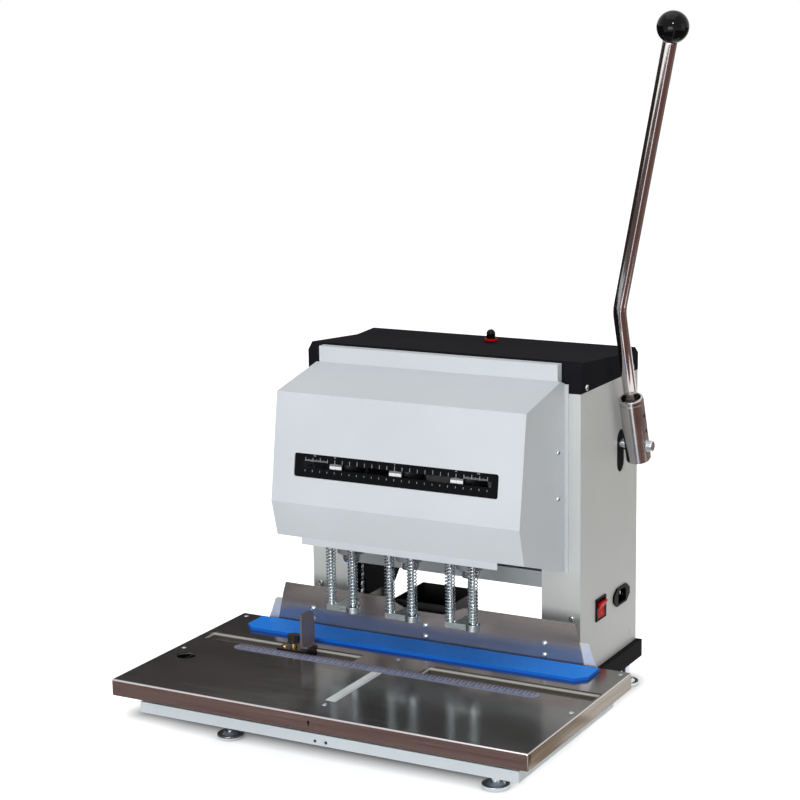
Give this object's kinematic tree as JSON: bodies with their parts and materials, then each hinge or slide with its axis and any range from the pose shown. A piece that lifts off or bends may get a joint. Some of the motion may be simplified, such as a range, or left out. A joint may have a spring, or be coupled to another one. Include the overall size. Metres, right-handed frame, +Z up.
{
  "type": "electric hole punch",
  "caption": "Desk paper drill with a side lever that lowers a sprung head of motor-driven hollow drills onto a wide paper table with a fence and side gauge.",
  "frame": {"origin": "on the floor, at the centre of the four levelling feet", "axes": "+X to the right seen from the front, -Y towards the operator, +Z up"},
  "size_m": [0.5922, 0.5025, 0.8417],
  "materials": {
    "black_steel": "satin black powder coat",
    "grey_steel": "fine-textured warm grey paint",
    "light_steel": "light grey satin paint",
    "table_steel": "polished stainless sheet",
    "fence_steel": "brushed stainless sheet",
    "bright_steel": "ground steel",
    "zinc": "bright zinc plate",
    "chrome": "polished chrome",
    "cast_grey": "machined and painted",
    "alu": "satin anodised",
    "black_plastic": "moulded",
    "gloss_black": "polished",
    "red_plastic": "moulded red",
    "blue_pad": "cutting plastic",
    "clear_plastic": "clear acrylic",
    "motor_case": "black enamel"
  },
  "bodies": {
    "machine": {"base_frame": "black_steel", "sub_frame": "light_steel", "table_plate": "table_steel", "ruler_strip": "alu", "centre_strip": "alu", "cutting_pad": "blue_pad", "fence_plate": "fence_steel", "fence_backing": "alu", "machine_screws": "zinc", "side_panel_left": "grey_steel", "side_panel_right": "grey_steel", "rear_panel": "grey_steel", "top_cover": "black_steel", "top_tie": "bright_steel", "hood": "light_steel", "scale_plate": "black_plastic", "cross_beam": "cast_grey", "guide_shafts": "bright_steel", "return_springs": "bright_steel", "bearing_blocks": "black_steel", "levelling_feet": "zinc", "switch_bezel": "black_plastic", "mains_inlet": "black_plastic", "button_collar": "red_plastic"},
    "head": {"head_side_plates": "black_steel", "head_rail": "cast_grey", "guide_blocks": "bright_steel", "head_racks": "bright_steel", "spindle_housing_centre": "cast_grey", "spindle_motor_centre": "motor_case", "foot_springs_centre": "zinc"},
    "lever": {"lever_shaft": "bright_steel", "lever_pinions": "bright_steel", "lever_hub": "chrome", "lever_rod": "chrome", "lever_knob": "gloss_black"},
    "unit_left": {"spindle_housing_left": "cast_grey", "spindle_motor_left": "motor_case", "foot_springs_left": "zinc"},
    "unit_right": {"spindle_housing_right": "cast_grey", "spindle_motor_right": "motor_case", "foot_springs_right": "zinc"},
    "drill_left": {"spindle_left": "bright_steel", "hollow_drill_left": "bright_steel"},
    "drill_centre": {"spindle_centre": "bright_steel", "hollow_drill_centre": "bright_steel"},
    "drill_right": {"spindle_right": "bright_steel", "hollow_drill_right": "bright_steel"},
    "foot_left": {"press_foot_left": "alu", "foot_rods_left": "zinc"},
    "foot_centre": {"press_foot_centre": "alu", "foot_rods_centre": "zinc"},
    "foot_right": {"press_foot_right": "alu", "foot_rods_right": "zinc"},
    "rocker": {"switch_rocker": "red_plastic"},
    "button": {"reset_button": "gloss_black"},
    "gauge": {"gauge_base": "cast_grey", "gauge_stop": "clear_plastic"},
    "gauge_screw": {"gauge_knob": "black_plastic"},
    "tray": {"chip_tray": "black_plastic"}
  },
  "joints": [
    {"name": "head_slide", "type": "slide", "parent": "machine", "child": "head", "axis": [0, 0, -1], "range_m": [0, 0.041], "stiffness_N_per_m": 3000, "springref_m": -0.08, "deforming": ["return_springs"]},
    {"name": "lever_turn", "type": "hinge", "parent": "machine", "child": "lever", "pos_m": [0, 0.146, 0.3224], "axis": [1, 0, 0], "range_deg": [0, 75]},
    {"name": "unit_left_slide", "type": "slide", "parent": "head", "child": "unit_left", "axis": [1, 0, 0], "range_m": [-0.036, 0.015]},
    {"name": "unit_right_slide", "type": "slide", "parent": "head", "child": "unit_right", "axis": [1, 0, 0], "range_m": [-0.015, 0.036]},
    {"name": "drill_left_spin", "type": "hinge", "parent": "unit_left", "child": "drill_left", "pos_m": [-0.08, -0.058, 0.25], "axis": [0, 0, 1], "continuous": true},
    {"name": "drill_centre_spin", "type": "hinge", "parent": "head", "child": "drill_centre", "pos_m": [0, -0.058, 0.25], "axis": [0, 0, 1], "continuous": true},
    {"name": "drill_right_spin", "type": "hinge", "parent": "unit_right", "child": "drill_right", "pos_m": [0.08, -0.058, 0.25], "axis": [0, 0, 1], "continuous": true},
    {"name": "foot_left_lift", "type": "slide", "parent": "unit_left", "child": "foot_left", "axis": [0, 0, 1], "range_m": [0, 0.041], "stiffness_N_per_m": 500, "springref_m": -0.03, "deforming": ["foot_springs_left"]},
    {"name": "foot_centre_lift", "type": "slide", "parent": "head", "child": "foot_centre", "axis": [0, 0, 1], "range_m": [0, 0.041], "stiffness_N_per_m": 500, "springref_m": -0.03, "deforming": ["foot_springs_centre"]},
    {"name": "foot_right_lift", "type": "slide", "parent": "unit_right", "child": "foot_right", "axis": [0, 0, 1], "range_m": [0, 0.041], "stiffness_N_per_m": 500, "springref_m": -0.03, "deforming": ["foot_springs_right"]},
    {"name": "switch_rock", "type": "hinge", "parent": "machine", "child": "rocker", "pos_m": [0.1815, 0.084, 0.131], "axis": [0, 1, 0], "range_deg": [-24, 0]},
    {"name": "button_press", "type": "slide", "parent": "machine", "child": "button", "axis": [0, 0, -1], "range_m": [0, 0.003], "stiffness_N_per_m": 400, "springref_m": -0.004},
    {"name": "gauge_slide", "type": "slide", "parent": "machine", "child": "gauge", "axis": [1, 0, 0], "range_m": [-0.1, 0.06]},
    {"name": "gauge_screw_turn", "type": "hinge", "parent": "gauge", "child": "gauge_screw", "pos_m": [-0.129, -0.116, 0.1], "axis": [0, 0, 1], "range_deg": [0, 180]},
    {"name": "tray_draw", "type": "slide", "parent": "machine", "child": "tray", "axis": [0, 1, 0], "range_m": [0, 0.15]}
  ],
  "couplings": [
    {"joint": "lever_turn", "follows": "head_slide", "rad_per_m": 31.746}
  ]
}
